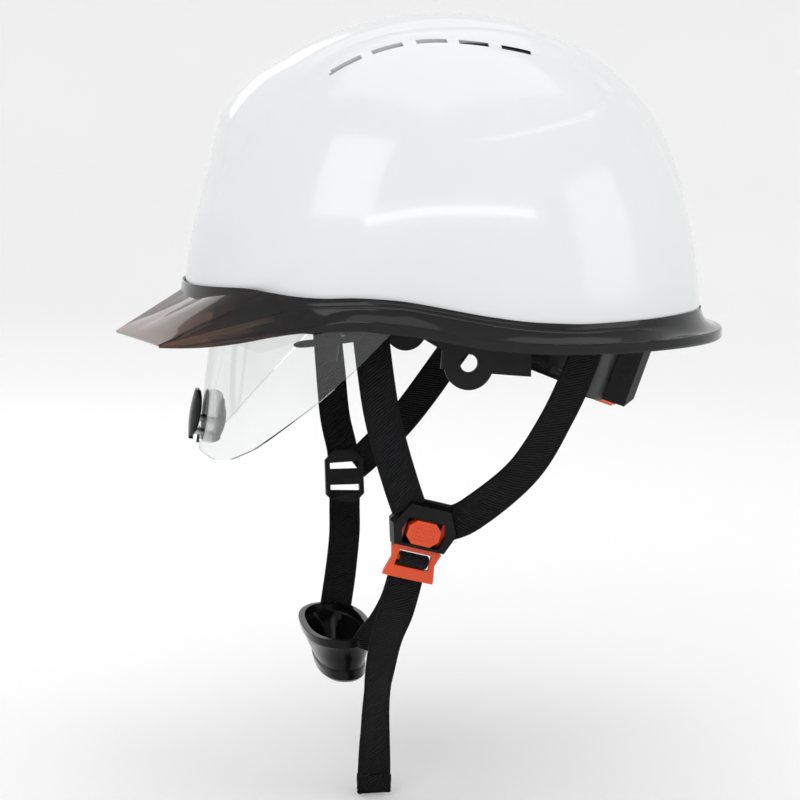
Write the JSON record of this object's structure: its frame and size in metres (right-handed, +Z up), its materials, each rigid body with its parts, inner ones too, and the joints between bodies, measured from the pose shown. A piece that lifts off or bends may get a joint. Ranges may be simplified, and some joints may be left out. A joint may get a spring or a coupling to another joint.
{
  "type": "hard hat",
  "caption": "White safety hard hat with a smoke brim, a clear face shield that slides up inside the shell, a thumbwheel headband and a buckled chin strap.",
  "frame": {"origin": "middle of the head opening, at the level of the brim's rear lip: where the centre of the wearer's headband line is", "axes": "+Z up through the crown, -X the wearer's front, +Y the wearer's right"},
  "size_m": [0.29, 0.222, 0.3653],
  "materials": {
    "white_abs": "high-gloss injection-moulded ABS",
    "smoke_brim": "smoke-brown translucent polycarbonate, polished",
    "black_gloss": "glossy black nylon",
    "black_matte": "fine-grained black polypropylene",
    "liner_foam": "dark expanded polystyrene with a beaded skin",
    "webbing": "black twill polyester webbing",
    "pad_cloth": "black knitted pad cloth over foam",
    "clear_lens": "clear hard-coated polycarbonate",
    "grey_nose": "translucent grey elastomer",
    "orange": "satin orange acetal",
    "steel": "zinc-plated steel"
  },
  "bodies": {
    "helmet": {"shell": "white_abs", "brim": "smoke_brim", "rim_carrier": "black_gloss", "buckle_base": "black_gloss", "buckle_cover": "black_gloss", "ratchet_cover": "black_gloss", "cradle_ring": "black_matte", "headband": "black_matte", "nape_plate": "black_matte", "rack_cover": "black_matte", "shield_rail_left": "black_matte", "shield_rail_right": "black_matte", "crown_hooks": "black_matte", "cradle_brackets": "black_matte", "headband_hangers": "black_matte", "strap_anchors": "black_matte", "right_adjuster": "black_matte", "impact_liner": "liner_foam", "crown_strap_front": "webbing", "crown_strap_middle": "webbing", "crown_strap_rear": "webbing", "left_front_strap": "webbing", "left_rear_strap": "webbing", "right_front_strap": "webbing", "right_rear_strap": "webbing", "right_lower_strap": "webbing", "sweatband": "pad_cloth", "nape_pad": "pad_cloth", "rim_screws": "steel", "click_spring": "steel", "button_spring": "steel"},
    "shield": {"face_shield": "clear_lens", "nose_grip": "black_gloss", "nose_pad": "grey_nose", "nose_pins": "steel", "shield_slider_left": "black_gloss", "shield_slider_right": "black_gloss"},
    "thumbwheel": {"ratchet_knob": "orange", "ratchet_pinion": "black_matte"},
    "rack_left_arm": {"rack_left": "black_matte"},
    "rack_right_arm": {"rack_right": "black_matte"},
    "button": {"buckle_button": "orange"},
    "chin_piece": {"buckle_tongue": "orange", "left_lower_strap": "webbing", "strap_tail": "webbing", "tail_hem": "webbing", "chin_cup": "black_gloss"}
  },
  "joints": [
    {"name": "shield_slide", "type": "slide", "parent": "helmet", "child": "shield", "axis": [0.1478, 0, 0.989], "range_m": [0, 0.04]},
    {"name": "knob_turn", "type": "hinge", "parent": "helmet", "child": "thumbwheel", "pos_m": [0.089, 0, -0.018], "axis": [0.9397, 0, -0.342], "range_deg": [0, 120]},
    {"name": "rack_left_pull", "type": "hinge", "parent": "helmet", "child": "rack_left_arm", "pos_m": [0.00631, 0, 0.0121], "axis": [0.342, 0, 0.9397], "range_deg": [0, 7.2]},
    {"name": "rack_right_pull", "type": "hinge", "parent": "helmet", "child": "rack_right_arm", "pos_m": [0.00631, 0, 0.0121], "axis": [-0.342, 0, -0.9397], "range_deg": [0, 7.2]},
    {"name": "button_press", "type": "slide", "parent": "helmet", "child": "button", "axis": [0.0476, 0.9824, 0.1808], "range_m": [0, 0.0016], "stiffness_N_per_m": 900, "deforming": ["button_spring"]},
    {"name": "tongue_release", "type": "slide", "parent": "helmet", "child": "chin_piece", "axis": [-0.25, 0.187, -0.95], "range_m": [0, 0.014]}
  ],
  "couplings": [
    {"joint": "rack_left_pull", "follows": "knob_turn", "ratio": 0.058},
    {"joint": "rack_right_pull", "follows": "knob_turn", "ratio": 0.058}
  ]
}
